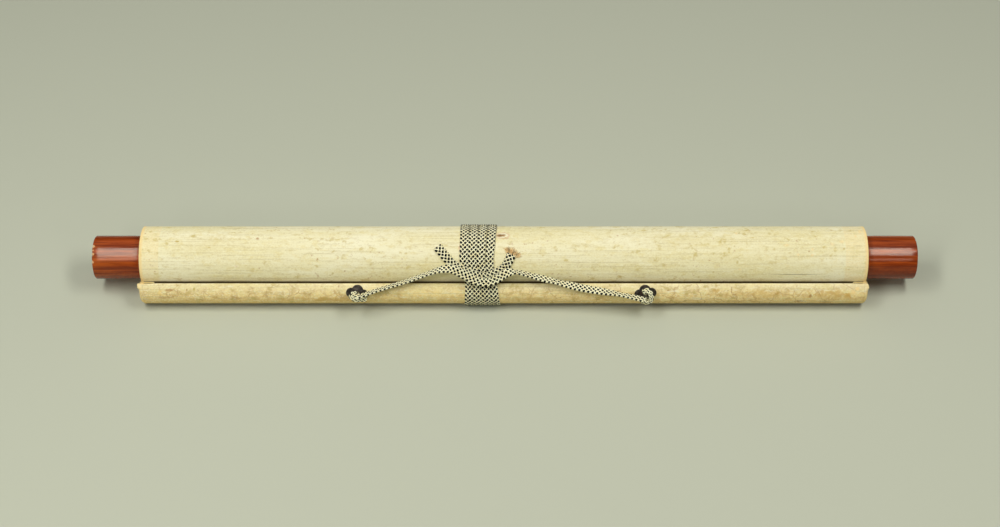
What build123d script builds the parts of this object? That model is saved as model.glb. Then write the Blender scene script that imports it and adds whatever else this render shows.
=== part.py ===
from build123d import *
import os
from math import acos, asin, atan2, cos, degrees, hypot, radians, sin, sqrt, tan

# A hanging scroll, rolled up and tied. All sizes are in millimetres.
# The scroll lies along X. -Y is the side of the top stave, and +Z is up.
# The origin is on the table, in the middle of the part's outline seen from above.

# Mounted paper sheet, rolled face inwards
sheet_width = 503.0
roll_dia = 43.5
sheet_thickness = 0.5
least_turn_gap = 0.2
glue_gap = 0.05
hem_length = 16.0
worn_slot_length = 5.6
worn_slot_width = 2.0
worn_slot_x = -2.7

# Roller rod and its knobs
rod_dia = 24.0
knob_dia = 30.3
left_knob_length = 33.6
right_knob_length = 35.4
knob_chamfer = 0.5
tenon_dia = 14.0
tenon_length = 16.0
tenon_clearance = 0.05
knob_gap = 0.2

# Half-round top stave and the folded paper over its ends
stave_dia = 21.2
stave_corner = 1.0
stave_roll_gap = 0.15
cap_length = 4.2
cap_overhang = 1.2
cap_round = 3.4
tongue_length = 9.5
tongue_thickness = 0.4
tongue_foot = 5.5
tongue_rise = 1.1

# Eyelets and their four-lobed plates
eyelet_xs = {"left": -102.3, "right": 97.2}
eyelet_angle = 25.5
plate_width = 15.4
plate_height = 12.4
plate_lobe_dia = 8.0
plate_side_lobe_dia = 7.0
plate_thickness = 0.6
plate_hole_dia = 2.6
plate_turn = 8.0
shank_dia = 2.0
shank_clearance = 0.1
shank_tip_gap = 3.0
eye_ring_dia = 5.2
eye_wire_dia = 1.2
eye_rise = 2.4

# Winding cord, a flat braid
cord_width = 6.5
cord_thickness = 1.1
cord_round = 0.45
cord_gap = 0.05
winding_turns = 4
winding_x = -17.6
pressed_thickness = 0.8
tuck_angle = 24.0
tuck_overlap = 1.5
tuck_route = [(-47.2, 15.6), (-35.5, 2.6), (-15.5, -7.0), (0.4, 1.2), (5.2, 12.0)]
tuck_radii = [14.0, 16.0, 8.0]

# Hanging cord, from eyelet to eyelet over the winding cord. Each place is how far along the scroll,
# the angle round the roll, and the lift off the roll.
hanging_dia = 3.0
loop_dia = 2.2
loop_clearance = 0.3
knot_dia = 4.0
knot_lift = 1.5
hanging_places = [
    (-92.0, 182.3, 10.9),
    (-80.0, 179.2, 7.5),
    (-66.8, 172.2, 5.3),
    (-54.4, 162.2, 3.8),
    (-44.7, 153.7, 3.8),
    (-37.0, 150.4, 5.1),
    (-28.5, 159.9, 5.9),
    (-21.0, 168.5, 6.8),
    (-13.0, 172.3, 7.6),
    (-5.5, 167.0, 6.5),
    (1.5, 156.6, 5.3),
    (9.0, 157.3, 4.5),
    (18.5, 164.5, 4.0),
    (30.0, 171.3, 4.5),
    (42.0, 177.7, 5.9),
    (55.0, 182.8, 7.7),
    (68.0, 185.6, 9.1),
    (80.0, 186.8, 10.7),
    (90.0, 185.1, 12.4),
]

os.makedirs("parts", exist_ok=True)

# Wound section, in the YZ plane: half circles about two centres that lie half a pitch apart
roll_radius = roll_dia / 2
rod_radius = rod_dia / 2
stave_radius = stave_dia / 2
half_sheet = sheet_thickness / 2
outer_line_radius = roll_radius - half_sheet
wound_depth = outer_line_radius - half_sheet - glue_gap - rod_radius
turns = int(wound_depth / (sheet_thickness + least_turn_gap))
pitch = wound_depth / turns
upper_line_radius = outer_line_radius - pitch / 2
upper_radius = upper_line_radius + half_sheet

# Stave against the roll, with the sheet's straight run level under both
wrap_line_radius = stave_radius + glue_gap + half_sheet
wrap_radius = wrap_line_radius + half_sheet
stave_from_roll = roll_radius - pitch + stave_roll_gap + sheet_thickness + glue_gap
stave_tilt = degrees(asin((roll_radius - wrap_radius) / stave_from_roll))
stave_from_axis = stave_from_roll * cos(radians(stave_tilt))

# Eyelets, measured outwards from the middle of the stave's flat side
plate_reach = wrap_radius + glue_gap + plate_thickness
ring_reach = plate_reach + eye_rise
eye_line_radius = (eye_ring_dia - eye_wire_dia) / 2
eye_angle = 180 - eyelet_angle

loop_line_radius = (eye_wire_dia + loop_dia) / 2 + loop_clearance
knot_reach = ring_reach + eye_line_radius + loop_line_radius + knot_lift

# Places in the section, with the eyelet rings and the winding cord as its front and back
front_of_stave = (ring_reach + eye_line_radius) * cos(radians(eyelet_angle)) + eye_wire_dia / 2
back_of_roll = roll_radius + cord_gap + cord_thickness
roll_y = (stave_from_axis + front_of_stave - back_of_roll) / 2
sheet_z = pressed_thickness + cord_gap
run_top = sheet_z + sheet_thickness
roll_z = sheet_z + roll_radius
upper_y = roll_y + pitch / 2
stave_y = roll_y - stave_from_axis
stave_z = sheet_z + wrap_radius

# Rounded top corner of the stave, where the sheet turns back into its hem
corner_along = sqrt((stave_radius - stave_corner) ** 2 - stave_corner**2)
corner_start = 90 + stave_tilt + degrees(atan2(stave_corner, corner_along))
corner_line_radius = stave_corner + glue_gap + half_sheet
hem_back = glue_gap + sheet_thickness
cap_back = -hem_back - glue_gap
trim_length = cap_length - cap_overhang

# Places along the scroll, from the outer face of one knob to that of the other
overall_length = left_knob_length + knob_gap + sheet_width + knob_gap + right_knob_length
left_end = -overall_length / 2
right_end = overall_length / 2
rod_left = left_end + left_knob_length
rod_right = right_end - right_knob_length
sheet_left = rod_left + knob_gap
sheet_right = rod_right - knob_gap
stave_left = sheet_left + trim_length
stave_right = sheet_right - trim_length
winding_width = winding_turns * cord_width
winding_left = winding_x - winding_width / 2
winding_right = winding_x + winding_width / 2

# Direction in which a tight cord leaves the roll for the stave, as an angle of the section
centres_apart = hypot(stave_y - upper_y, stave_z - roll_z)
to_stave = degrees(atan2(stave_z - roll_z, stave_y - upper_y)) % 360
leave_angle = to_stave - degrees(acos((upper_radius - wrap_radius) / centres_apart))


def polar(y, z, radius, angle):
    """A point of the section, at an angle from +Y towards +Z."""
    return (y + radius * cos(radians(angle)), z + radius * sin(radians(angle)))


def on_stave(along, out):
    """A point of the section, from the middle of the stave's flat side: up along it, and out of the roll."""
    y, z = polar(stave_y, stave_z, along, 90 + stave_tilt)
    return polar(y, z, out, 180 + stave_tilt)


def across(x):
    """The plane that holds the section at one place along the scroll."""
    return Plane(origin=(x, 0, 0), x_dir=(0, 1, 0), z_dir=(1, 0, 0))


def from_stave(x, reach):
    """The plane that faces out of the stave at an eyelet."""
    y, z = polar(stave_y, stave_z, reach, eye_angle)
    return Plane(
        origin=(x, y, z),
        x_dir=(1, 0, 0),
        z_dir=(0, cos(radians(eye_angle)), sin(radians(eye_angle))),
    )


corner_y, corner_z = on_stave(corner_along, stave_corner)
tuck_plane = Plane(
    origin=(0, roll_y, roll_z),
    x_dir=(1, 0, 0),
    z_dir=(0, -cos(radians(tuck_angle)), sin(radians(tuck_angle))),
)


def girth(grow):
    """The face inside a tight cord round the roll and the stave, grown outwards."""
    with BuildSketch() as face:
        with BuildLine():
            Line((stave_y, sheet_z - grow), (roll_y, sheet_z - grow))
            CenterArc((roll_y, roll_z), roll_radius + grow, -90, 90)
            CenterArc((upper_y, roll_z), upper_radius + grow, 0, leave_angle)
            Line(
                polar(upper_y, roll_z, upper_radius + grow, leave_angle),
                polar(stave_y, stave_z, wrap_radius + grow, leave_angle),
            )
            CenterArc((stave_y, stave_z), wrap_radius + grow, leave_angle, 270 - leave_angle)
        make_face()
    return face.sketch


def cord_shell(inner):
    """The section of a tight cord that lies round the roll and the stave, at a distance from them."""
    with BuildSketch() as face:
        add(girth(inner + cord_thickness))
        add(girth(inner), mode=Mode.SUBTRACT)
    return face.sketch


def tuck_layer(left, right, inner):
    """A stretch of the tucked cord, laid round the roll and cut to its route as seen from above the front."""
    shell = cord_shell(inner)
    with BuildPart() as layer:
        with BuildSketch(across(left)):
            add(shell)
        extrude(amount=right - left)
        with BuildSketch(tuck_plane):
            with BuildLine():
                FilletPolyline(*tuck_route, radius=tuck_radii)
            trace(line_width=cord_width)
        extrude(amount=2 * roll_radius, mode=Mode.INTERSECT)
    return layer.part


# Sheet: the turns, the level run to the stave, the wrap round it and the hem behind it
with BuildPart() as end_trim:
    for x in (sheet_left, sheet_right - trim_length):
        with BuildSketch(across(x)):
            with BuildLine():
                Polyline(
                    on_stave(stave_dia, stave_dia),
                    on_stave(stave_dia, cap_back),
                    on_stave(-stave_dia, cap_back),
                    on_stave(-stave_dia, stave_dia),
                    close=True,
                )
            make_face()
            with Locations((stave_y, 0)):
                Rectangle(
                    2 * stave_dia,
                    run_top + glue_gap / 2,
                    align=(Align.MIN, Align.MIN),
                    mode=Mode.SUBTRACT,
                )
        extrude(amount=trim_length)

with BuildPart() as scroll_sheet:
    with BuildSketch(across(sheet_left)):
        with BuildLine():
            for side in (-half_sheet, half_sheet):
                for turn in range(turns):
                    lower = outer_line_radius - pitch * (turn + 1) + side
                    upper = upper_line_radius - pitch * turn + side
                    CenterArc((upper_y, roll_z), upper, 0, 180)
                    CenterArc((roll_y, roll_z), lower, 180, 180)
                CenterArc((roll_y, roll_z), outer_line_radius + side, -90, 90)
                run_z = roll_z - outer_line_radius - side
                Line((roll_y, run_z), (stave_y, run_z))
                CenterArc((stave_y, stave_z), wrap_line_radius + side, corner_start, 270 - corner_start)
                CenterArc(
                    (corner_y, corner_z), corner_line_radius + side, stave_tilt, corner_start - stave_tilt
                )
                back = -(glue_gap + half_sheet + side)
                Line(on_stave(corner_along, back), on_stave(corner_along - hem_length, back))
            inner_y = roll_y + outer_line_radius - pitch * turns
            Line((inner_y - half_sheet, roll_z), (inner_y + half_sheet, roll_z))
            hem_end = corner_along - hem_length
            Line(on_stave(hem_end, -glue_gap), on_stave(hem_end, -hem_back))
        make_face()
    extrude(amount=sheet_width)
    add(end_trim.part, mode=Mode.SUBTRACT)
    for x in eyelet_xs.values():
        with BuildSketch(from_stave(x, stave_radius)):
            Circle(plate_hole_dia / 2)
        extrude(amount=sheet_thickness + 2 * glue_gap, mode=Mode.SUBTRACT)
    with BuildSketch(Plane.XY.offset(roll_z + upper_radius - sheet_thickness - least_turn_gap / 2)):
        with Locations((worn_slot_x, upper_y)):
            SlotOverall(worn_slot_length, worn_slot_width)
    extrude(amount=sheet_thickness + least_turn_gap, mode=Mode.SUBTRACT)
scroll_sheet.part.label = "scroll_sheet"
export_step(scroll_sheet.part, "parts/scroll_sheet.step")

# Roller rod, with a tenon at each end for the knobs
with BuildPart() as roller_rod:
    with BuildSketch(across(rod_left)):
        with Locations((roll_y + pitch / 4, roll_z)):
            Circle(rod_radius - pitch / 4)
    extrude(amount=rod_right - rod_left)
    with BuildSketch(across(rod_left - tenon_length)):
        with Locations((roll_y, roll_z)):
            Circle(tenon_dia / 2)
    extrude(amount=rod_right - rod_left + 2 * tenon_length)
roller_rod.part.label = "roller_rod"
export_step(roller_rod.part, "parts/roller_rod.step")

# Knobs: plain turned cylinders with a broken outer edge
for side, inner_x, outer_x in (
    ("left", rod_left, left_end),
    ("right", rod_right, right_end),
):
    with BuildPart() as knob:
        with BuildSketch(across(min(inner_x, outer_x))):
            with Locations((roll_y, roll_z)):
                Circle(knob_dia / 2)
        extrude(amount=abs(outer_x - inner_x))
        rims = knob.edges().filter_by(GeomType.CIRCLE).sort_by(Axis.X)
        chamfer(rims[0] if side == "left" else rims[-1], knob_chamfer)
        with BuildSketch(across(inner_x)):
            with Locations((roll_y, roll_z)):
                Circle(tenon_dia / 2 + tenon_clearance)
        socket = tenon_length + tenon_clearance
        extrude(amount=-socket if side == "left" else socket, mode=Mode.SUBTRACT)
    knob.part.label = f"{side}_knob"
    export_step(knob.part, f"parts/{side}_knob.step")

# Top stave: a half-round bar with its flat side against the hem
with BuildPart() as top_stave:
    with BuildSketch(across(stave_left)):
        with BuildLine():
            bar_arc = CenterArc((stave_y, stave_z), stave_radius, 90 + stave_tilt, 180)
            Line(bar_arc @ 0, bar_arc @ 1)
        make_face()
        fillet(vertices(), stave_corner)
    extrude(amount=stave_right - stave_left)
    for x in eyelet_xs.values():
        with BuildSketch(from_stave(x, shank_tip_gap - shank_clearance)):
            Circle(shank_dia / 2 + shank_clearance)
        extrude(amount=stave_radius, mode=Mode.SUBTRACT)
top_stave.part.label = "top_stave"
export_step(top_stave.part, "parts/top_stave.step")

# Caps: paper folded over each end of the stave, with a tongue that stands up behind it
for side, outer_x, into in (
    ("left", sheet_left - cap_overhang, 1),
    ("right", sheet_right + cap_overhang, -1),
):
    edge_x = outer_x + into * cap_overhang
    tongue_x = min(edge_x, edge_x + into * tongue_length)
    with BuildPart() as cap:
        with BuildSketch(Plane(origin=(outer_x, stave_y, stave_z), x_dir=(into, 0, 0), z_dir=(0, 1, 0))):
            with BuildLine():
                Polyline((0, wrap_radius - cap_round), (0, 0), (cap_length, 0), (cap_length, wrap_radius))
                Line((cap_length, wrap_radius), (cap_round, wrap_radius))
                RadiusArc((cap_round, wrap_radius), (0, wrap_radius - cap_round), -cap_round)
            make_face()
        revolve(axis=Axis((outer_x, stave_y, stave_z), (1, 0, 0)))
        with BuildSketch(across(min(outer_x, outer_x + into * cap_length))):
            with BuildLine():
                Polyline(
                    on_stave(stave_dia, cap_back),
                    on_stave(stave_dia, cap_back - stave_dia),
                    on_stave(-stave_dia, cap_back - stave_dia),
                    on_stave(-stave_dia, cap_back),
                    close=True,
                )
            make_face()
            with Locations((stave_y, 0)):
                Rectangle(2 * stave_dia, run_top + glue_gap, align=(Align.MIN, Align.MIN))
        extrude(amount=cap_length, mode=Mode.SUBTRACT)
        with BuildSketch(across(tongue_x)):
            with BuildLine():
                Polyline(
                    on_stave(tongue_foot, cap_back),
                    on_stave(wrap_radius + tongue_rise, cap_back),
                    on_stave(wrap_radius + tongue_rise, cap_back - tongue_thickness),
                    on_stave(tongue_foot, cap_back - tongue_thickness),
                    close=True,
                )
            make_face()
        extrude(amount=tongue_length)
    cap.part.label = f"{side}_stave_cap"
    export_step(cap.part, f"parts/{side}_stave_cap.step")

# Eyelet plates, bent to the stave, and the eyelets driven through them
for side, x in eyelet_xs.items():
    turned = -plate_turn if side == "left" else plate_turn
    lobe_out = (plate_width - plate_side_lobe_dia) / 2
    lobe_up = (plate_height - plate_lobe_dia) / 2
    with BuildPart() as plate:
        with BuildSketch(across(x - plate_width / 2)):
            with Locations((stave_y, stave_z)):
                Circle(plate_reach)
                Circle(plate_reach - plate_thickness, mode=Mode.SUBTRACT)
        extrude(amount=plate_width)
        with BuildSketch(from_stave(x, 0)):
            with Locations(Rotation(0, 0, turned)):
                with Locations((lobe_out, 0), (-lobe_out, 0)):
                    Circle(plate_side_lobe_dia / 2)
                with Locations((0, lobe_up), (0, -lobe_up)):
                    Circle(plate_lobe_dia / 2)
                Rectangle(2 * lobe_out, plate_side_lobe_dia / 2)
            Circle(plate_hole_dia / 2, mode=Mode.SUBTRACT)
        extrude(amount=2 * plate_reach, mode=Mode.INTERSECT)
    plate.part.label = f"{side}_eyelet_plate"
    export_step(plate.part, f"parts/{side}_eyelet_plate.step")
    with BuildPart() as eyelet:
        with Locations(from_stave(x, ring_reach)):
            Torus(eye_line_radius, eye_wire_dia / 2, rotation=(90, 0, 0))
        with BuildSketch(from_stave(x, shank_tip_gap)):
            Circle(shank_dia / 2)
        extrude(amount=ring_reach - eye_line_radius - shank_tip_gap)
    eyelet.part.label = f"{side}_eyelet"
    export_step(eyelet.part, f"parts/{side}_eyelet.step")

# Winding cord: turns side by side, with the cord's doubled end tucked over them
turn_section = cord_shell(cord_gap)
with BuildPart() as cord_turn:
    with BuildSketch(across(winding_left)):
        add(turn_section)
    extrude(amount=cord_width)
    fillet([edge for rim in cord_turn.faces().filter_by(Axis.X) for edge in rim.outer_wire().edges()], cord_round)

over_turns = cord_gap + cord_thickness
tuck_left = tuck_route[0][0] - cord_width
tuck_right = tuck_route[-1][0] + cord_width
left_tail = tuck_layer(tuck_left, winding_left + cord_gap, cord_gap)
right_tail = tuck_layer(winding_right - cord_gap, tuck_right, cord_gap)
tuck = tuck_layer(winding_left - tuck_overlap, winding_right + tuck_overlap, over_turns)
with BuildPart() as winding_cord:
    with Locations([(turn * cord_width, 0, 0) for turn in range(winding_turns)]):
        add(cord_turn.part)
    with Locations((winding_x, stave_y, 0)):
        Box(
            winding_width,
            4 * stave_dia,
            stave_dia,
            align=(Align.CENTER, Align.CENTER, Align.MAX),
            mode=Mode.SUBTRACT,
        )
    add([left_tail, tuck, right_tail])
winding_cord.part.label = "winding_cord"
export_step(winding_cord.part, "parts/winding_cord.step")

# Hanging cord: a loop through each eyelet, and a run between them laid over the winding cord
start_x, end_x = eyelet_xs.values()
hanging_route = [(start_x, *polar(stave_y, stave_z, knot_reach, eye_angle))]
for x, angle, lift in hanging_places:
    hanging_route.append((x, *polar(upper_y, roll_z, upper_radius + lift, angle)))
hanging_route.append((end_x, *polar(stave_y, stave_z, knot_reach, eye_angle)))
hanging_points = [Vector(place) for place in hanging_route]
hanging_radii = []
for before, here, after in zip(hanging_points, hanging_points[1:], hanging_points[2:]):
    turned = (here - before).get_angle(after - here)
    shorter = min((here - before).length, (after - here).length)
    hanging_radii.append(0.45 * shorter / tan(radians(turned / 2)))
with BuildPart() as hanging_cord:
    with BuildLine() as hanging_line:
        FilletPolyline(*hanging_points, radius=hanging_radii)
    with BuildSketch(Plane(hanging_points[0], z_dir=hanging_points[1] - hanging_points[0])):
        Circle(hanging_dia / 2)
    sweep()
    for x in eyelet_xs.values():
        with Locations(from_stave(x, ring_reach + eye_line_radius)):
            Torus(loop_line_radius, loop_dia / 2, rotation=(0, 90, 0))
        with Locations(from_stave(x, knot_reach)):
            Sphere(knot_dia / 2)

hanging_cord.part.label = "hanging_cord"
export_step(hanging_cord.part, "parts/hanging_cord.step")

print("turns of the sheet:", turns, "with a pitch of", round(pitch, 4))
print("sheet length:", round(scroll_sheet.part.volume / sheet_thickness / sheet_width))
print("stave tilt:", round(stave_tilt, 2), "roll:", round(roll_y, 3), round(roll_z, 3))
print("stave:", round(stave_y, 3), round(stave_z, 3), "cord leaves the roll at", round(leave_angle, 2))
print("hanging cord length:", round(hanging_line.wire().length, 1))
print("hanging cord radii:", [round(radius, 1) for radius in hanging_radii])
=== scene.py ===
import math
import bpy
import bmesh
import numpy as np
from mathutils import Matrix, Vector, noise


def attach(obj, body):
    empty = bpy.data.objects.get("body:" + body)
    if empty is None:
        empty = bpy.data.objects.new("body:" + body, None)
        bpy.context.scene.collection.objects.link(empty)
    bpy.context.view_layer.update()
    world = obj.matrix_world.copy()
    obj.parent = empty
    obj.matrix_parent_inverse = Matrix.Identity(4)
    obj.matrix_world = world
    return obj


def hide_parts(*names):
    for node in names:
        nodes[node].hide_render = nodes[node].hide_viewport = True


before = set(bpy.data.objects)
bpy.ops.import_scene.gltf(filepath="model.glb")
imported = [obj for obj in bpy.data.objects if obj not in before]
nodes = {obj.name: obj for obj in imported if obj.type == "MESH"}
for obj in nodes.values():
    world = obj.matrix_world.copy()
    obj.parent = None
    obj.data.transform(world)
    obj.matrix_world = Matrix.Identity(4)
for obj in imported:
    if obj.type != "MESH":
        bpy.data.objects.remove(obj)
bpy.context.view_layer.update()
mm = 0.001
print("frame loaded:", len(nodes), "nodes")


# Helpers for pieces

def meshOf(name, shape):
    mesh = bpy.data.meshes.new(name)
    shape.to_mesh(mesh)
    shape.free()
    return mesh


def placePiece(name, mesh, materials):
    for material in materials:
        mesh.materials.append(material)
    mesh.polygons.foreach_set("use_smooth", [True] * len(mesh.polygons))
    piece = bpy.data.objects.new(name, mesh)
    bpy.context.scene.collection.objects.link(piece)
    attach(piece, "root")
    return piece


def addPiece(name, shape, material):
    bmesh.ops.recalc_face_normals(shape, faces=shape.faces)
    piece = placePiece(name, meshOf(name, shape), [material])
    return piece


def dressNode(name, material, sharp=30.0):
    # a merged, smoothly shaded copy of a CAD node stands for it
    shape = bmesh.new()
    shape.from_mesh(nodes[name].data)
    bmesh.ops.remove_doubles(shape, verts=shape.verts, dist=1e-6)
    for edge in shape.edges:
        edge.smooth = len(edge.link_faces) == 2 and edge.calc_face_angle(0.0) < math.radians(sharp)
    piece = placePiece(name + "Dressed", meshOf(name + "Dressed", shape), [material])
    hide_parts(name)


def vertsOf(made):
    # the new points that a bmesh operator returns
    return [part for part in made if isinstance(part, bmesh.types.BMVert)]


def noiseAt(co, scale):
    return noise.noise(Vector([c * pull for c, pull in zip(co, scale)]))


def allParts(faces):
    # faces with their edges and points, as the cutting operator takes them
    return faces + list({e for f in faces for e in f.edges}) + list({v for f in faces for v in f.verts})


# Helpers for materials

def join(tree, value, socket):
    if isinstance(value, bpy.types.NodeSocket):
        tree.links.new(value, socket)
    else:
        socket.default_value = value


def addNode(tree, kind, links, **settings):
    # a shader node with its sockets linked or set
    node = tree.nodes.new("ShaderNode" + kind)
    for key, value in settings.items():
        setattr(node, key, value)
    for socket, value in links.items():
        join(tree, value, node.inputs[socket])
    return node


def addMath(tree, operation, a, b):
    return addNode(tree, "Math", {0: a, 1: b}, operation=operation).outputs[0]


def multiply(tree, a, b):
    return addMath(tree, "MULTIPLY", a, b)


def vectorMath(tree, operation, a, b):
    return addNode(tree, "VectorMath", {0: a, 1: b}, operation=operation).outputs[0]


def mixColour(tree, factor, a, b):
    return addNode(tree, "Mix", {0: factor, 6: a, 7: b}, data_type="RGBA").outputs[2]


def layOver(tree, colour, mask, amount, over):
    # lays another colour over this one, by the mask and the amount
    return mixColour(tree, multiply(tree, mask, amount), colour, over)


def rampValue(tree, value, low, high):
    sockets = {"Value": value, "From Min": low, "From Max": high}
    return addNode(tree, "MapRange", sockets, interpolation_type="SMOOTHSTEP").outputs["Result"]


def noiseOf(tree, vector, scale, detail=4.0, rough=0.55, distortion=0.0):
    sockets = {"Vector": vector, "Scale": scale, "Detail": detail}
    sockets |= {"Roughness": rough, "Distortion": distortion}
    return addNode(tree, "TexNoise", sockets).outputs["Fac"]


def seeNoises(tree, place, rows):
    # a noise for each row: stretch along x, y and z, scale, detail, roughness and perhaps distortion
    seen = {}
    for name, (pull, *rest) in rows.items():
        stretched = addNode(tree, "Mapping", {"Vector": place, "Scale": pull}).outputs["Vector"]
        seen[name] = noiseOf(tree, stretched, *rest)
    return seen


def layTones(tree, colour, seen, palette, tones):
    # rows of noise, where it starts and where it is full, colour, amount
    for name, start, full, over, amount in tones:
        colour = layOver(tree, colour, rampValue(tree, seen[name], start, full), amount, palette[over])
    return colour


def roughenBy(tree, shader, value, low, high):
    rough = addNode(tree, "MapRange", {"Value": value, "To Min": low, "To Max": high})
    tree.links.new(rough.outputs["Result"], shader.inputs["Roughness"])


def addBump(tree, shader, height, strength, distance):
    bump = addNode(tree, "Bump", {"Height": height, "Strength": strength, "Distance": distance})
    tree.links.new(bump.outputs["Normal"], shader.inputs["Normal"])


def newMaterial(name, values):
    # a material with its node tree, its shader and the place on the object that its nodes read
    material = bpy.data.materials.new(name)
    material.use_nodes = True
    tree = material.node_tree
    shader = tree.nodes["Principled BSDF"]
    for socket, value in values.items():
        shader.inputs[socket].default_value = value
    place = addNode(tree, "TexCoord", {}).outputs["Object"]
    return material, tree, shader, place


# The shared patch effect: soft, ragged, round one place

def patchGroup():
    tree = bpy.data.node_groups.new("patch", "ShaderNodeTree")
    for name in ("Vector", "Centre", "Size", "Wobble", "Ragged", "Softness"):
        kind = "Vector" if name in ("Vector", "Centre", "Size") else "Float"
        tree.interface.new_socket(name=name, in_out="INPUT", socket_type="NodeSocket" + kind)
    tree.interface.new_socket(name="Mask", in_out="OUTPUT", socket_type="NodeSocketFloat")
    source = tree.nodes.new("NodeGroupInput").outputs
    sink = tree.nodes.new("NodeGroupOutput").inputs
    away = vectorMath(tree, "SUBTRACT", source["Vector"], source["Centre"])
    scaled = vectorMath(tree, "DIVIDE", away, source["Size"])
    far = addNode(tree, "VectorMath", {0: scaled}, operation="LENGTH").outputs["Value"]
    shift = multiply(tree, multiply(tree, source["Wobble"], source["Ragged"]), 4.0)
    edge = addMath(tree, "ADD", far, shift)
    inner = addMath(tree, "SUBTRACT", 1.0, source["Softness"])
    sockets = {"Value": edge, "From Min": inner, "From Max": 1.0, "To Min": 1.0, "To Max": 0.0}
    mask = addNode(tree, "MapRange", sockets, interpolation_type="SMOOTHSTEP")
    tree.links.new(mask.outputs["Result"], sink["Mask"])
    return tree


patchTree = patchGroup()


def wobbleOf(tree, place):
    return addMath(tree, "SUBTRACT", noiseOf(tree, place, 420.0, 3.0), 0.5)


def patchMask(tree, place, wobble, centre, size, edge):
    # centre and size in millimetres, edge as raggedness and softness
    sockets = {
        "Vector": place, "Wobble": wobble, "Ragged": edge[0], "Softness": edge[1],
        "Centre": [c * mm for c in centre], "Size": [c * mm for c in size],
    }
    return addNode(tree, "Group", sockets, node_tree=patchTree).outputs["Mask"]


def layPatches(tree, colour, place, wobble, patches):
    # rows of centre, size, edge, amount and the colour that is laid over
    for centre, size, edge, amount, over in patches:
        mask = patchMask(tree, place, wobble, centre, size, edge)
        colour = layOver(tree, colour, mask, amount, over)
    return colour


# Camera, in millimetres and degrees

view = {
    "elevation": 46.5,
    "distance": 1192.4,
    "aim": (-3.4, 5.65, 22.6),
    "aimDrop": 4.4,          # how far the picture's middle lies under the aim
    "lens": 61.2,
    "sensor": 36.0,
}


def placeCamera():
    tilt = math.radians(view["elevation"])
    look = Vector((0.0, math.cos(tilt), -math.sin(tilt)))
    up = Vector((0.0, math.sin(tilt), math.cos(tilt)))
    data = bpy.data.cameras.new("photoCamera")
    data.lens = view["lens"]
    data.sensor_width = view["sensor"]
    data.clip_start = 0.05
    camera = bpy.data.objects.new("photoCamera", data)
    camera.location = (Vector(view["aim"]) - up * view["aimDrop"] - look * view["distance"]) * mm
    camera.rotation_euler = (math.radians(90.0 - view["elevation"]), 0.0, 0.0)
    bpy.context.scene.collection.objects.link(camera)
    bpy.context.scene.camera = camera


# Lights and table, in metres

boxColour = (1.0, 0.99, 0.97)
lamps = {
    # two tall boxes with dim strips under them: width and height, place, strength, colour
    "leftBox": ((0.22, 0.985), (-0.53, -0.36, 1.095), 12.35, boxColour),
    "leftStrip": ((0.22, 0.28), (-0.53, -0.958, 0.742), 7.7, boxColour),
    "rightBox": ((0.22, 0.758), (0.53, -0.265, 1.122), 13.9, boxColour),
    "rightStrip": ((0.22, 0.17), (0.53, -0.995, 0.691), 5.4, boxColour),
    "ceiling": ((2.6, 2.2), (-0.2, 0.55, 1.5), 0.34, (1.0, 1.0, 0.99)),
}
room = {
    "colour": (1.0, 1.0, 0.98, 1.0),
    "strength": 0.025,
    "aimHeight": 0.02,       # the lamps face this height over the table's middle line
    "table": (0.53, 0.553, 0.432, 1.0),
    "tableReach": 4.0,
}


def placeLights():
    for name, (size, place, strength, colour) in lamps.items():
        data = bpy.data.lights.new(name + "Lamp", "AREA")
        data.shape = "RECTANGLE"
        data.size, data.size_y = size
        data.energy = strength * math.pi * data.size * data.size_y
        data.color = colour
        lamp = bpy.data.objects.new(name + "Lamp", data)
        lamp.location = place
        aim = Vector((lamp.location.x, 0.0, room["aimHeight"]))
        lamp.rotation_euler = (aim - lamp.location).to_track_quat("-Z", "Y").to_euler()
        bpy.context.scene.collection.objects.link(lamp)
    world = bpy.data.worlds.new("room")
    world.use_nodes = True
    sockets = world.node_tree.nodes["Background"].inputs
    sockets["Color"].default_value = room["colour"]
    sockets["Strength"].default_value = room["strength"]
    bpy.context.scene.world = world


def placeTable():
    shape = bmesh.new()
    bmesh.ops.create_grid(shape, x_segments=1, y_segments=1, size=room["tableReach"])
    table = bpy.data.objects.new("tableTop", meshOf("tableTop", shape))
    bpy.context.scene.collection.objects.link(table)
    values = {"Base Color": room["table"], "Roughness": 0.9, "Specular IOR Level": 0.1}
    table.data.materials.append(newMaterial("tableTop", values)[0])


placeCamera()
placeLights()
placeTable()
bpy.context.scene.view_settings.view_transform = "Standard"
print("camera, lights and table placed")


# The wound section: the same lengths, in millimetres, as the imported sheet

section = {
    "rollRadius": 21.75,
    "sheet": 0.5,
    "turns": 13,
    "pitch": 9.2 / 13,
    "rollY": 5.653,
    "rollZ": 22.6,
    "staveY": -13.331,
    "staveZ": 12.0,
    "staveRadius": 10.6,
    "staveCorner": 1.0,
    "tilt": 29.178,
    "glue": 0.05,
    "hem": 16.0,
    "left": -252.4,
    "right": 250.6,
    "trim": 3.0,             # the wrap stops this far short of the roll's ends
}
rollCentre = (section["rollY"], section["rollZ"])
upperCentre = (section["rollY"] + section["pitch"] / 2, section["rollZ"])
staveCentre = (section["staveY"], section["staveZ"])
upperRadius = section["rollRadius"] - section["pitch"] / 2
wrapRadius = section["staveRadius"] + section["glue"] + section["sheet"]
staveTilt = math.radians(section["tilt"])
hemBack = section["glue"] + section["sheet"] + 0.1     # just behind the pasted hem


def polar(centre, radius, angle):
    turn = math.radians(angle)
    return (centre[0] + radius * math.cos(turn), centre[1] + radius * math.sin(turn))


def onStave(along, out):
    middle = polar(staveCentre, along, 90.0 + section["tilt"])
    return polar(middle, out, 180.0 + section["tilt"])


def fromUpper(co):
    # distance, in millimetres, from the centre line of the roll's upper half
    return math.hypot(co.y / mm - upperCentre[0], co.z / mm - upperCentre[1])


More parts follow.
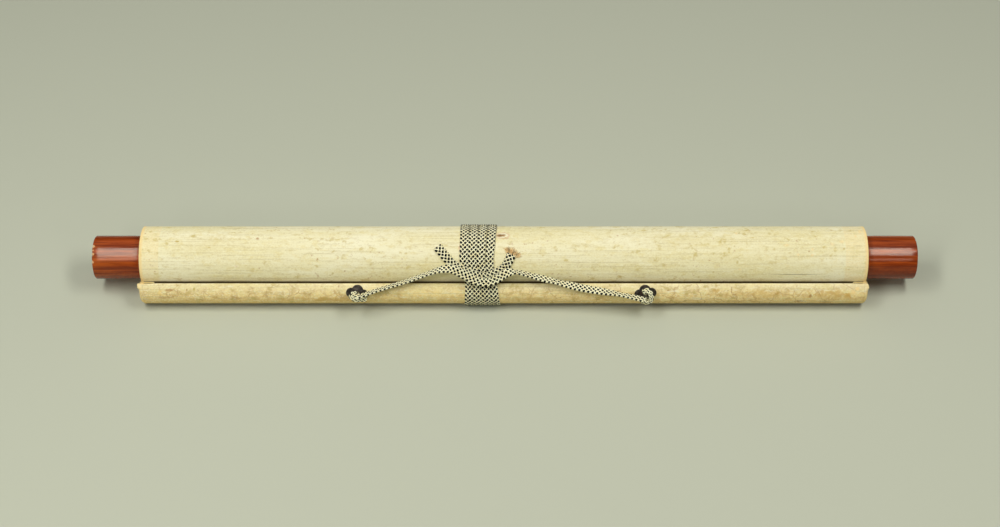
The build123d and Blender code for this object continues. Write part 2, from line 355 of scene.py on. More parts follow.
# the outline of a tight cord round the roll and the stave, unrolled from the top and down the front
apart = math.dist(staveCentre, upperCentre)
toStave = math.atan2(staveCentre[1] - upperCentre[1], staveCentre[0] - upperCentre[0])
leave = math.degrees(toStave) % 360 - math.degrees(math.acos((upperRadius - wrapRadius) / apart))
lowest = staveCentre[1] - wrapRadius
spans = [
    ("arc", upperCentre, upperRadius, 90.0, leave),
    ("line", polar(upperCentre, upperRadius, leave), polar(staveCentre, wrapRadius, leave), leave, leave),
    ("arc", staveCentre, wrapRadius, leave, 270.0),
    ("line", (staveCentre[0], lowest), (rollCentre[0], lowest), 270.0, 270.0),
    ("arc", rollCentre, section["rollRadius"], 270.0, 360.0),
    ("arc", upperCentre, upperRadius, 0.0, 90.0),
]


def spanLength(span):
    if span[0] == "line":
        return math.dist(span[1], span[2])
    return span[2] * math.radians(span[4] - span[3])


spanLengths = [spanLength(span) for span in spans]
girth = sum(spanLengths)


def roundScroll(along, lift):
    # places in the section, of arrays of lengths round the girth and lifts off it
    along = np.mod(along, girth)
    places = np.zeros((len(along), 2))
    start = 0.0
    for span, length in zip(spans, spanLengths):
        here = (along >= start - 1e-9) & (along <= start + length + 1e-9)
        share = (along[here] - start) / length
        turn = np.radians(span[3] + (span[4] - span[3]) * share)
        normal = np.stack([np.cos(turn), np.sin(turn)], 1)
        if span[0] == "line":
            base = np.array(span[1]) + share[:, None] * (np.array(span[2]) - np.array(span[1]))
            places[here] = base + normal * lift[here, None]
        else:
            places[here] = np.array(span[1]) + normal * (span[2] + lift[here, None])
        start += length
    return places


print("girth of the scroll:", round(girth, 2))


# Mounting paper, in its roll and round the stave

paper = {
    "base": (0.86, 0.79, 0.46, 1.0),
    "pale": (0.94, 0.90, 0.64, 1.0),
    "streak": (0.62, 0.53, 0.26, 1.0),
    "mottle": (0.82, 0.72, 0.34, 1.0),
    "fox": (0.60, 0.47, 0.12, 1.0),
    "rust": (0.47, 0.25, 0.07, 1.0),
    "hem": (0.92, 0.79, 0.43, 1.0),
    "stave": (0.93, 0.73, 0.27, 1.0),
    "staveDark": (0.68, 0.43, 0.10, 1.0),
    "staveLow": (0.90, 0.61, 0.18, 1.0),
    "edge": (0.95, 0.74, 0.33, 1.0),
    "dirtAndShade": (0.080, 0.040, 0.010, 1.0),
    "pink": (0.72, 0.40, 0.24, 1.0),
    "contactShade": (0.22, 0.13, 0.05, 1.0),
    # distances from the sheet's ends at which the hem starts to show and shows fully
    "hemEnds": {"left": (13.9, 12.9), "right": (16.1, 15.1)},
    # heights, in metres, between which the stave's paper gets darker and yellower towards the bottom, and
    # takes a painted contact shade near the table
    "darkerLowHeights": (0.0235, 0.0150),
    "lowHeights": (0.017, 0.005),
    "contactShadeHeights": (0.0044, 0.0024),
}
paperNoise = {
    "threads": ((14.0, 1000.0, 1000.0), 1.0, 2.0, 0.5),
    "flecks": ((110.0, 460.0, 460.0), 1.0, 5.0, 0.7),
    "speckle": ((0.7, 1.0, 1.0), 1100.0, 2.0, 0.6),
    "broad": ((7.0, 45.0, 45.0), 1.0, 4.0, 0.55),
    "blotch": ((0.75, 1.0, 1.0), 210.0, 4.0, 0.6),
    "mottle": ((0.55, 1.0, 1.0), 260.0, 3.0, 0.6),
    "spots": ((1.0, 1.0, 1.0), 430.0, 2.0, 0.5),
    "zones": ((1.0, 1.0, 1.0), 22.0, 2.0, 0.55),
}
paperTones = (
    ("mottle", 0.50, 0.66, "mottle", 0.55), ("flecks", 0.52, 0.72, "streak", 0.50),
    ("flecks", 0.46, 0.28, "pale", 0.8), ("threads", 0.54, 0.68, "streak", 0.42),
    ("speckle", 0.54, 0.72, "streak", 0.34), ("speckle", 0.46, 0.32, "pale", 0.6),
)
foxing = (
    # noise and its range, the range of the zones that it keeps to, colour, amount
    ("blotch", (0.56, 0.68), (0.36, 0.56), "fox", 0.55),
    ("spots", (0.66, 0.75), (0.42, 0.6), "rust", 0.55),
)
cracks = {
    # fine cracks in the paste over the stave, along bent lines
    "scale": 75.0,
    "line": (0.030, 0.004),  # distances from a line at which it starts and is full
    "where": (0.50, 0.62),   # range of the broad noise
    "bendScale": 120.0,
    "bend": 9.0,
    "amount": 0.5,
}
paperEnds = (
    # brown ends: part, distances from the sheet's end where it starts and where it is full, colour, amount
    ("roll", 3.0, 0.6, "edge", 0.9), ("roll", 0.5, -0.1, "rust", 0.3), ("stave", 2.4, -1.2, "edge", 0.6),
)
seamShade = {
    # painted shade where the roll meets the stave
    "centre": (0, -15.25, 18.05),
    "size": (1, 3.1, 2.8),
    "edge": (0.04, 0.35),
    "fromEnds": (1.2, 2.4),
}
# stains, cracks and the layer under the worn slot: centre, size, colour, raggedness, softness, amount
paperMarks = (
    ((-1.4, 6.0, 44.0), (5.6, 3.8, 1.2), "pink", 0.2, 0.3, 0.5),
    ((-1.6, 6.0, 44.0), (4.6, 2.8, 1.2), "pale", 0.2, 0.3, 0.9),
    ((-2.7, 6.0, 44.0), (3.9, 1.9, 1.0), "rust", 0.3, 0.5, 0.6),
    ((-2.7, 6.0, 43.0), (3.6, 1.8, 0.7), "rust", 0.1, 0.3, 0.9),
    ((-2.7, 6.2, 43.0), (3.0, 0.9, 0.7), "dirtAndShade", 0.3, 0.5, 0.6),
    ((-248.4, -18.4, 22.6), (7.5, 3.0, 1.3), "edge", 0.2, 0.4, 0.9),
    ((246.6, -18.4, 22.6), (7.5, 3.0, 1.3), "edge", 0.2, 0.4, 0.9),
    ((-31.0, -3.5, 41.0), (1.6, 5.0, 4.0), "pink", 0.5, 0.8, 0.5),
    ((-233.2, -0.9, 43.4), (2.2, 1.8, 1.5), "fox", 0.25, 0.8, 0.75),
    ((-226.6, 0.9, 43.8), (2.4, 0.9, 1.2), "fox", 0.3, 0.6, 0.9),
    ((-216.1, 5.3, 44.3), (3.0, 2.2, 1.0), "fox", 0.4, 0.8, 0.75),
    ((-171.0, 3.2, 44.2), (1.7, 1.4, 1.2), "rust", 0.3, 0.8, 0.7),
    ((-176.0, 3.6, 44.1), (2.6, 1.0, 1.2), "fox", 0.3, 0.8, 0.5),
    ((-201.4, -7.7, 39.8), (1.3, 1.1, 1.1), "fox", 0.3, 0.8, 0.7),
    ((-203.7, -3.6, 42.3), (1.5, 1.0, 1.0), "fox", 0.3, 0.8, 0.6),
    ((-185.0, -13.2, 33.5), (2.6, 0.9, 1.2), "pink", 0.4, 0.8, 0.7),
    ((-165.0, -11.3, 36.2), (1.6, 1.4, 1.4), "fox", 0.3, 0.8, 0.6),
    ((-239.0, -22.8, 17.0), (2.0, 3.0, 3.4), "stave", 0.4, 0.8, 0.8),
    ((-203.0, -21.0, 17.5), (8.0, 1.2, 3.0), "staveDark", 0.7, 0.8, 0.8),
    ((-190.0, -23.5, 13.0), (16.0, 4.0, 2.4), "rust", 0.6, 0.9, 0.3),
    ((-120.0, -24.0, 12.0), (50.0, 4.0, 3.2), "staveDark", 0.6, 0.9, 0.5),
    ((20.0, -24.0, 12.0), (26.0, 4.0, 3.0), "staveDark", 0.6, 0.9, 0.4),
    ((176.0, -22.5, 15.5), (34.0, 4.0, 4.0), "staveDark", 0.6, 0.9, 0.5),
    ((225.0, -22.5, 15.0), (20.0, 4.0, 5.0), "staveDark", 0.7, 0.9, 0.6),
    ((-205.0, 0.0, 42.5), (30.0, 12.0, 7.0), "fox", 0.7, 0.9, 0.16),
    ((120.0, 2.0, 43.0), (50.0, 9.0, 5.0), "fox", 0.7, 0.9, 0.16),
    # painted shade along a crease on the roll's lower right, with a paler line above it
    ((202.0, -15.7, 26.9), (24.0, 1.5, 0.34), "dirtAndShade", 0.06, 0.5, 0.6),
    ((200.0, -15.3, 28.0), (24.0, 1.5, 0.5), "pale", 0.06, 0.7, 0.8),
)
# small spots: x, the turn round the roll or the stave from the front, length, width, colour, amount
rollSpots = (
    (144.4, 82.8, 0.9, 0.9, "rust", 0.9), (151.8, 75.3, 1.7, 1.5, "fox", 0.6),
    (147.1, 75.3, 2.6, 0.9, "fox", 0.6), (160.2, 98.3, 1.7, 1.3, "edge", 0.6),
    (168.2, 107.1, 3.0, 1.6, "fox", 0.6), (183.7, 97.1, 2.2, 1.8, "fox", 0.6),
    (201.8, 76.9, 1.2, 1.2, "rust", 0.5), (185.5, 60.4, 1.6, 2.2, "fox", 0.5),
    (194.0, 69.2, 3.2, 1.5, "edge", 0.45), (202.2, 50.5, 1.5, 1.3, "edge", 0.6),
    (211.9, 60.4, 1.7, 1.4, "edge", 0.55), (211.9, 50.5, 1.9, 1.4, "edge", 0.55),
    (162.4, 23.6, 1.9, 1.5, "edge", 0.7), (176.6, 42.1, 1.4, 1.6, "fox", 0.5),
    (160.2, 36.7, 1.3, 1.8, "fox", 0.6), (146.2, 30.9, 1.0, 0.9, "rust", 0.5),
    (242.6, 89.2, 1.5, 1.4, "edge", 0.7), (246.4, 104.0, 2.0, 4.0, "edge", 0.6),
    (232.8, 75.3, 2.6, 1.9, "edge", 0.55), (233.4, 84.4, 1.5, 1.5, "edge", 0.55),
    (226.0, 70.6, 2.5, 2.0, "edge", 0.4), (233.6, 61.2, 1.4, 1.3, "fox", 0.75),
    (227.6, 57.6, 1.7, 1.4, "fox", 0.6), (224.4, 49.2, 2.2, 1.1, "fox", 0.75),
    (237.1, 23.6, 1.3, 0.7, "rust", 0.7),
)
staveSpots = (
    (156.8, 36.0, 0.7, 3.2, "rust", 0.8), (158.6, 20.0, 2.2, 0.7, "rust", 0.6),
    (146.5, 35.5, 3.4, 2.4, "staveDark", 0.7), (172.9, -14.0, 4.6, 1.1, "rust", 0.45),
    (205.0, -12.0, 4.6, 1.3, "rust", 0.5), (159.7, -12.0, 4.6, 1.1, "rust", 0.4),
    (211.9, 15.3, 1.3, 1.5, "rust", 0.8), (243.9, 41.2, 2.2, 2.2, "edge", 0.8),
    (237.6, 18.1, 3.4, 3.2, "staveDark", 0.8), (241.2, 29.0, 2.6, 2.4, "edge", 0.7),
    (216.0, 1.3, 1.7, 1.3, "edge", 0.7), (-232.0, 38.0, 5.2, 0.9, "rust", 0.75),
    (-215.0, 40.0, 1.2, 1.4, "fox", 0.9), (-220.0, 38.0, 0.7, 0.9, "rust", 0.8),
    (-237.0, 8.0, 6.0, 1.0, "rust", 0.45),
)


def spotOn(part, x, turn, long, wide):
    # centre and half-lengths of a spot on the roll or the stave
    centre, radius = (rollCentre, section["rollRadius"]) if part == "roll" else (staveCentre, wrapRadius)
    lean = math.radians(turn)
    size = (long, wide * abs(math.sin(lean)) + 0.6, wide * abs(math.cos(lean)) + 0.6)
    return (x, *polar(centre, radius, 180.0 - turn)), size


def fromEnd(tree, x, side, start, full):
    # a ramp over distances, in millimetres, from the sheet's left or right end
    way = 1 if side == "left" else -1
    return rampValue(tree, x, (section[side] + way * start) * mm, (section[side] + way * full) * mm)


def partMasks(tree, y, z):
    # the stave's wrap lies before a plane just behind its hem, the roll behind it
    cos, sin = math.cos(staveTilt), math.sin(staveTilt)
    back = addMath(tree, "ADD", multiply(tree, y, cos), multiply(tree, z, sin))
    middle = staveCentre[0] * cos + staveCentre[1] * sin
    plane = (middle + hemBack) * mm
    stave = rampValue(tree, back, plane + 0.04 * mm, plane - 0.04 * mm)
    return {"stave": stave, "roll": addMath(tree, "SUBTRACT", 1.0, stave)}


def paperGround(tree, seen, parts, x, z):
    colour = layTones(tree, paper["base"], seen, paper, [("broad", 0.36, 0.64, "pale", 1.0)])
    hem = addMath(tree, "ADD", *(fromEnd(tree, x, side, *ends) for side, ends in paper["hemEnds"].items()))
    colour = layOver(tree, colour, multiply(tree, hem, parts["roll"]), 0.6, paper["hem"])
    # the stave's paper is yellower than the roll's, the more so and the more orange towards the bottom
    worn = layTones(tree, paper["stave"], seen, paper, [("blotch", 0.42, 0.66, "staveDark", 1.0)])
    worn = mixColour(tree, rampValue(tree, z, *paper["lowHeights"]), worn, paper["staveLow"])
    darkerLow = multiply(tree, rampValue(tree, z, *paper["darkerLowHeights"]), 0.55)
    colour = layOver(tree, colour, parts["stave"], addMath(tree, "ADD", darkerLow, 0.25), worn)
    return layTones(tree, colour, seen, paper, paperTones)


def paperWear(tree, colour, seen, parts, place, x, z):
    for name, marks, zone, over, amount in foxing:
        mask = multiply(tree, rampValue(tree, seen[name], *marks), rampValue(tree, seen["zones"], *zone))
        colour = layOver(tree, colour, mask, amount, paper[over])
    # painted contact shade: the stave's paper is darkened to brown below about 4 mm over the table
    contactShadeMask = multiply(tree, rampValue(tree, z, *paper["contactShadeHeights"]), parts["stave"])
    colour = layOver(tree, colour, contactShadeMask, 0.75, paper["contactShade"])
    # the cracks are the borders between cells, read at shifted places
    bend = {"Vector": place, "Scale": cracks["bendScale"], "Detail": 2.0}
    shift = addNode(tree, "TexNoise", bend).outputs["Color"]
    shift = vectorMath(tree, "SUBTRACT", shift, (0.5, 0.5, 0.5))
    shift = vectorMath(tree, "MULTIPLY", shift, (cracks["bend"] * mm,) * 3)
    cells = {"Vector": vectorMath(tree, "ADD", place, shift), "Scale": cracks["scale"]}
    away = addNode(tree, "TexVoronoi", cells, feature="DISTANCE_TO_EDGE").outputs["Distance"]
    line = rampValue(tree, away, *cracks["line"])
    crack = multiply(tree, line, rampValue(tree, seen["broad"], *cracks["where"]))
    colour = layOver(tree, colour, multiply(tree, crack, parts["stave"]), cracks["amount"], paper["rust"])
    for part, start, full, over, amount in paperEnds:
        for side in ("left", "right"):
            mask = multiply(tree, fromEnd(tree, x, side, start, full), parts[part])
            colour = layOver(tree, colour, mask, amount, paper[over])
    return colour


def paperMaterial():
    values = {"Roughness": 0.85, "Specular IOR Level": 0.15, "Diffuse Roughness": 0.25}
    material, tree, shader, place = newMaterial("mountingPaper", values)
    x, y, z = addNode(tree, "SeparateXYZ", {"Vector": place}).outputs[:]
    seen = seeNoises(tree, place, paperNoise)
    parts = partMasks(tree, y, z)
    colour = paperGround(tree, seen, parts, x, z)
    colour = paperWear(tree, colour, seen, parts, place, x, z)
    wobble = wobbleOf(tree, place)
    # painted shade in the crease between the roll and the stave, kept in from the sheet's ends
    inSection = vectorMath(tree, "MULTIPLY", place, (0, 1, 1))
    seam = patchMask(tree, inSection, wobble, seamShade["centre"], seamShade["size"], seamShade["edge"])
    inner = multiply(tree, *(fromEnd(tree, x, side, *seamShade["fromEnds"]) for side in ("left", "right")))
    colour = layOver(tree, colour, multiply(tree, seam, inner), 0.92, paper["dirtAndShade"])
    patches = []
    for centre, size, over, ragged, soft, amount in paperMarks:
        patches.append((centre, size, (ragged, soft), amount, paper[over]))
    for part, edge, rows in (("roll", (0.3, 0.9), rollSpots), ("stave", (0.4, 0.8), staveSpots)):
        for *spot, over, amount in rows:
            patches.append((*spotOn(part, *spot), edge, amount, paper[over]))
    colour = layPatches(tree, colour, place, wobble, patches)
    tree.links.new(colour, shader.inputs["Base Color"])
    rise = addMath(tree, "ADD", seen["flecks"], multiply(tree, seen["threads"], 0.6))
    addBump(tree, shader, rise, 0.35, 0.3 * mm)
    return material


wound = {
    "outerSteps": (60, 72),  # of the lower and upper halves of the outer turn
    "innerSteps": 20,        # of each half of the hidden turns
    "lowerSteps": 30,
    "lineSteps": 6,
    "staveSteps": 56,
    "cornerSteps": 12,
    "hemSteps": 4,
    "cuts": 58,              # across the width
    "uneven": 0.07,          # how far the outer turn swells
    "unevenScale": (22, 60, 60),
    "unevenOver": 10.0,      # only higher than this
    "sharp": 35.0,
}
wornSlot = {
    "x": -2.7,
    "length": 5.6,
    "width": 2.0,
    "corner": 0.55,          # cut off length and width at the corners
    "around": 9.0,           # only faces this near the slot are cut
    "deep": 0.35,            # and no deeper than this
    "low": 40.0,             # and no lower
}


def windSheet():
    # the line of the section, swept from the inner end outwards, then drawn across the width
    shape = bmesh.new()
    x = section["left"] * mm
    half = section["sheet"] / 2
    corner = section["staveCorner"]
    start = section["rollY"] + section["rollRadius"] - half - section["pitch"] * section["turns"]
    last = [shape.verts.new((x, start * mm, section["rollZ"] * mm))]

    def sweep(centre, angle, steps):
        made = bmesh.ops.spin(
            shape, geom=last, cent=(x, centre[0] * mm, centre[1] * mm), axis=(1, 0, 0),
            angle=math.radians(angle), steps=steps,
        )
        last[:] = vertsOf(made["geom_last"])

    def run(place, steps):
        first = last[0].co.copy()
        end = Vector((x, place[0] * mm, place[1] * mm))
        for step in range(steps):
            last[:] = bmesh.ops.extrude_vert_indiv(shape, verts=last)["verts"]
            last[0].co = first.lerp(end, (step + 1) / steps)

    for turn in range(section["turns"]):
        outer = turn == section["turns"] - 1
        lower, upper = wound["outerSteps"] if outer else (wound["innerSteps"],) * 2
        sweep(rollCentre, -180.0, lower)
        sweep(upperCentre, -180.0, upper)
    sweep(rollCentre, -90.0, wound["lowerSteps"])
    run((section["staveY"], section["staveZ"] - wrapRadius + half), wound["lineSteps"])
    cornerAlong = math.sqrt((section["staveRadius"] - corner) ** 2 - corner ** 2)
    cornerStart = 90.0 + section["tilt"] + math.degrees(math.atan2(corner, cornerAlong))
    sweep(staveCentre, cornerStart - 270.0, wound["staveSteps"])
    sweep(onStave(cornerAlong, corner), section["tilt"] - cornerStart, wound["cornerSteps"])
    run(onStave(cornerAlong - section["hem"], -section["glue"] - half), wound["hemSteps"])
    copies = vertsOf(bmesh.ops.extrude_edge_only(shape, edges=shape.edges[:])["geom"])
    width = section["right"] - section["left"]
    bmesh.ops.translate(shape, vec=(width * mm, 0, 0), verts=copies)
    across = [e for e in shape.edges if abs(e.verts[0].co.x - e.verts[1].co.x) > width * mm / 2]
    bmesh.ops.subdivide_edges(shape, edges=across, cuts=wound["cuts"])
    return shape


def trimWrap(shape):
    # the wrap stops short of the roll's ends, where the caps sit
    def onWrap(face):
        middle = face.calc_center_median() / mm
        y, z = middle.y - staveCentre[0], middle.z - staveCentre[1]
        lower = y > 0 and z < 0.6 - wrapRadius
        back = y * math.cos(staveTilt) + z * math.sin(staveTilt)
        return math.hypot(y, z) < wrapRadius + 0.1 and back < hemBack and not lower

    for side, end in ((-1, section["left"]), (1, section["right"])):
        plane = (end - side * section["trim"]) * mm
        parts = allParts([f for f in shape.faces if onWrap(f)])
        bmesh.ops.bisect_plane(shape, geom=parts, dist=1e-7, plane_co=(plane, 0, 0), plane_no=(side, 0, 0))
        gone = [f for f in shape.faces if onWrap(f) and side * (f.calc_center_median().x - plane) > 0]
        bmesh.ops.delete(shape, geom=gone, context="FACES")


def wearSlot(shape):
    # the worn slot through the outer turn, a long hole with cut corners
    long, wide = wornSlot["length"] / 2, wornSlot["width"] / 2
    corner = (long + wide - wornSlot["corner"]) / math.sqrt(2)
    slant = 1 / math.sqrt(2)
    cuts = [((1, 0), long), ((-1, 0), long), ((0, 1), wide), ((0, -1), wide)]
    cuts += [((sx * slant, sy * slant), corner) for sx in (-1, 1) for sy in (-1, 1)]

    def fromSlot(face):
        middle = face.calc_center_median() / mm
        return middle.x - wornSlot["x"], middle.y - upperCentre[0]

    def near(face):
        dx, dy = fromSlot(face)
        middle = face.calc_center_median()
        if abs(dx) > long + wornSlot["around"] or abs(dy) > wide + wornSlot["around"]:
            return False
        return fromUpper(middle) > upperRadius - wornSlot["deep"] and middle.z > wornSlot["low"] * mm

    def inside(face):
        dx, dy = fromSlot(face)
        return near(face) and all(ax * dx + ay * dy < away for (ax, ay), away in cuts)

    for (ax, ay), away in cuts:
        at = ((wornSlot["x"] + ax * away) * mm, (upperCentre[0] + ay * away) * mm, 0)
        parts = allParts([f for f in shape.faces if near(f)])
        bmesh.ops.bisect_plane(shape, geom=parts, dist=1e-7, plane_co=at, plane_no=(ax, ay, 0))
    bmesh.ops.delete(shape, geom=[f for f in shape.faces if inside(f)], context="FACES")


def makeSheet():
    shape = windSheet()
    trimWrap(shape)
    wearSlot(shape)
    for v in shape.verts:
        # the outer turn isn't perfectly even
        if fromUpper(v.co) > upperRadius - 0.4 and v.co.z > wound["unevenOver"] * mm:
            push = noiseAt(v.co, wound["unevenScale"]) + 0.4
            way = Vector((0, v.co.y - upperCentre[0] * mm, v.co.z - upperCentre[1] * mm)).normalized()
            v.co += way * push * wound["uneven"] * mm
    sheet = addPiece("scrollSheet", shape, mountingPaper)
    wall = sheet.modifiers.new("paperThickness", "SOLIDIFY")
    wall.thickness = section["sheet"] * mm
    wall.offset = 0.0
    wall.use_even_offset = True
    # the wall is made real here, so that its rims can stay sharp
    solid = bpy.data.meshes.new_from_object(sheet.evaluated_get(bpy.context.evaluated_depsgraph_get()))
    sheet.modifiers.clear()
    sheet.data = solid
    solid.set_sharp_from_angle(angle=math.radians(wound["sharp"]))
    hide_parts("scroll_sheet")


mountingPaper = paperMaterial()
makeSheet()
print("paper wound:", section["turns"], "turns")


# The flat braid: a sleeve of sixteen strands, pressed flat

braid = {
    "strandGap": 1.55,       # between neighbouring strands, round the sleeve
    "samples": 4,            # steps of a strand from one crossing to the next but one
    "sleeveRadius": 0.25,    # at the folded edges
    "creamWidth": 1.3,
    # width, crown and lift of the black strands: a lifted one shows longer marks
    "marks": {"long": (1.6, 0.26, 0.09), "round": (1.9, 0.22, 0.02), "sparse": (1.3, 0.2, 0.0)},
    "wave": 0.13,            # how far a strand rises and dips
    "crown": 0.2,            # how round a strand is
    "lining": -0.16,         # height of the dull inside, seen between the strands
    "liningStep": 1.5,
    "liningRound": 28,       # its faces round the sleeve
    "thicken": 0.875,        # of a cord that is drawn narrow
    "clear": 0.03,           # over the table
    "cream": (1.0, 0.97, 0.65, 1.0),
    "creamDull": (0.94, 0.85, 0.47, 1.0),
    "creamDark": (0.55, 0.46, 0.28, 1.0),
    "black": (0.003, 0.003, 0.003, 1.0),
    "blackWorn": (0.009, 0.008, 0.007, 1.0),
    "stain": (0.22, 0.09, 0.045, 1.0),
    "stains": (              # place and size
        (-32.5, -15.5, 32.5, 4.0, 3.2, 3.2), (-2.0, -17.5, 31.5, 4.2, 3.4, 3.4),
        (-30.4, -7.0, 41.0, 1.3, 4.0, 2.2),
    ),
}
gap = braid["strandGap"]
flatWidth = 4 * gap
halfThick = braid["sleeveRadius"] + braid["wave"] + braid["crown"]


def strandHeight(across):
    # a strand of the first family dips under and rises over, and floats over two at the middle
    t = across % flatWidth
    swing = math.cos(2 * math.pi * t / gap)
    if t < 0.5 * gap:
        return -1.0
    if t < 2 * gap:
        return swing
    if t < 2.5 * gap:
        return 1.0
    return -swing


def weaveStrand(shape, layer, first, number, fromT, toT, marks):
    # one strand across the pressed sleeve, as (along, round, height)
    steps = round((toT - fromT) / gap * braid["samples"])
    verts = bmesh.ops.create_grid(shape, x_segments=steps, y_segments=3, size=0.5)["verts"]
    black = number == (0 if first else 1)
    cream = (braid["creamWidth"], braid["crown"], 0.0)
    where = {}
    for v in verts:
        q = fromT + (v.co.x + 0.5) * (toT - fromT)
        side = v.co.y * 2
        inHalf = (q % flatWidth > 2 * gap) == first
        wide, crown, lift = braid["marks"][marks] if black and inHalf else cream
        reach = side * wide / 2 / math.sqrt(2)
        height = strandHeight(q) * braid["wave"] * (1 if first else -1)
        height += lift + crown * (1 - side * side)
        if first:
            v.co = (number * gap - q + reach, q + reach, height)
        else:
            v.co = (q - number * gap + reach, q - reach, height)
        where[v] = (q, side)
    for face in {f for v in verts for f in v.link_faces}:
        middle = sum(where[v][0] for v in face.verts) / 4
        inHalf = (middle % flatWidth > 2 * gap) == first
        face.material_index = 1 if black and inHalf else 0
        for loop in face.loops:
            q, side = where[loop.vert]
            loop[layer].uv = (q / gap, side)
        if first:
            face.normal_flip()


def weaveSleeve(length, marks, fromT=0.0, toT=8 * gap):
    shape = bmesh.new()
    layer = shape.loops.layers.uv.new("strand")
    for first in (True, False):
        for number in (0, 1):
            weaveStrand(shape, layer, first, number, fromT, toT, marks)
    bmesh.ops.translate(shape, vec=(-toT - 2 * gap, 0, 0), verts=shape.verts)
    reach = 2 * gap
    while reach < length + 2 * toT + 8 * gap:
        made = bmesh.ops.duplicate(shape, geom=shape.verts[:] + shape.edges[:] + shape.faces[:])
        bmesh.ops.translate(shape, vec=(reach, 0, 0), verts=vertsOf(made["geom"]))
        reach *= 2
    for place, side in ((0.0, -1), (length, 1)):
        bmesh.ops.bisect_plane(
            shape, geom=shape.verts[:] + shape.edges[:] + shape.faces[:], dist=1e-5,
            plane_co=(place, 0, 0), plane_no=(side, 0, 0), clear_outer=True,
        )
    steps = max(2, round(length / braid["liningStep"]))
    made = bmesh.ops.create_grid(shape, x_segments=steps, y_segments=braid["liningRound"], size=0.5)
    lining = made["verts"]
    for v in lining:
        v.co = ((v.co.x + 0.5) * length, (v.co.y + 0.5) * 8 * gap, braid["lining"])
    for face in {f for v in lining for f in v.link_faces}:
        face.material_index = 2
    return shape


def pressFlat(t, height):
    # place of a point of the sleeve in the braid's own cross-section, from its middle
    radius = braid["sleeveRadius"]
    corner = math.pi * radius / 2
    run = flatWidth - 2 * corner
    t = np.mod(t, 8 * gap)
    under = t > flatWidth
    half = np.where(under, t - flatWidth, t)
    turn = np.where(half < corner, 180 - 90 * half / corner, 90.0)
    turn = np.where(half > corner + run, 90 - 90 * (half - corner - run) / corner, turn)
    turn = np.radians(np.where(under, turn - 180, turn))
    middle = np.clip(half - corner, 0, run) - run / 2
    middle = np.where(under, -middle, middle)
    out = radius + height
    return middle + np.cos(turn) * out, np.sin(turn) * out


def readPoints(mesh):
    flat = np.zeros(len(mesh.vertices) * 3)
    mesh.vertices.foreach_get("co", flat)
    return flat.reshape(-1, 3)


def smoothLine(points):
    # points along a NURBS line with these control points
    curve = bpy.data.curves.new("line", "CURVE")
    curve.dimensions = "3D"
    curve.resolution_u = 16
    spline = curve.splines.new("NURBS")
    spline.points.add(len(points) - 1)
    for point, place in zip(spline.points, points):
        point.co = (*place, 1.0)
    spline.use_endpoint_u = True
    spline.order_u = 3
    carrier = bpy.data.objects.new("line", curve)
    mesh = bpy.data.meshes.new_from_object(carrier)
    line = readPoints(mesh)
    bpy.data.objects.remove(carrier)
    bpy.data.meshes.remove(mesh)
    bpy.data.curves.remove(curve)
    return line


def lengthsAlong(line):
    return np.concatenate([[0.0], np.cumsum(np.linalg.norm(np.diff(line, axis=0), axis=1))])


def along(line, lengths, at):
    return np.stack([np.interp(at, lengths, line[:, i]) for i in range(line.shape[1])], 1)


def unit(ways):
    return ways / np.linalg.norm(ways, axis=1)[:, None]


def ease(share):
    return share * share * (3 - 2 * share)


def finishBraid(name, shape, place, materials):
    # moves every point of the flat weave to its place on the line
    mesh = meshOf(name, shape)
    mesh.vertices.foreach_set("co", (place(readPoints(mesh)) * mm).ravel())
    mesh.update()
    piece = placePiece(name, mesh, materials)
    return piece


def onScroll(line, base, squeeze, closing=0.0):
    # a placing function for a braid that lies on the scroll along a line of (x, length round the girth)
    flat = line[:, :2]
    lengths = lengthsAlong(flat)
    heading = unit(np.gradient(flat, axis=0))

    def place(points):
        at = np.clip(points[:, 0], 0, lengths[-1])
        across, height = pressFlat(points[:, 1], points[:, 2])
        here = along(flat, lengths, at)
        way = unit(along(heading, lengths, at))
        across = across * squeeze(here)
        around = here[:, 1] - way[:, 0] * across
        thick = np.ones_like(at)
        if closing:
            thick = np.sqrt(1 - np.clip(1 - at / closing, 0, 1) ** 2)
        lift = base(here[:, 0], here[:, 1]) + halfThick + height * thick - halfThick * (1 - thick) * 0.4
        result = np.column_stack([here[:, 0] + way[:, 1] * across, roundScroll(around, lift)])
        result[:, 2] = np.maximum(result[:, 2], braid["clear"])
        return result
    return place, lengths[-1]


def yarnBump(tree, shader):
    strand = addNode(tree, "UVMap", {}, uv_map="strand").outputs["UV"]
    sockets = {"Vector": strand, "Scale": 2.2, "Distortion": 1.5, "Detail": 2.0}
    yarn = addNode(tree, "TexWave", sockets, wave_type="BANDS", bands_direction="Y").outputs["Fac"]
    addBump(tree, shader, yarn, 0.35, 0.2 * mm)


def braidMaterials():
    made = []
    for name, colour, second, fade, values in (
        ("creamStrand", "cream", "creamDull", (0.4, 0.75), (0.85, 0.1, 0.2)),
        ("blackStrand", "black", "blackWorn", (0.45, 0.8), (0.7, 0.0, 0.08)),
        ("sleeveInside", "creamDull", "creamDark", (0.4, 0.7), (0.95, 0.0, 0.2)),
    ):
        sockets = dict(zip(("Roughness", "Sheen Weight", "Specular IOR Level"), values))
        material, tree, shader, place = newMaterial(name, sockets)
        shade = noiseOf(tree, place, 260.0, 3.0, 0.6)
        tint = mixColour(tree, rampValue(tree, shade, *fade), braid[colour], braid[second])
        if colour == "cream":
            stains = [(spot[:3], spot[3:], (0.1, 0.8), 0.7, braid["stain"]) for spot in braid["stains"]]
            tint = layPatches(tree, tint, place, shade, stains)
        tree.links.new(tint, shader.inputs["Base Color"])
        if name != "sleeveInside":
            yarnBump(tree, shader)
        made.append(material)
    return made


braidLooks = braidMaterials()


# The winding cord: four turns round the roll and the stave, crossing at the back

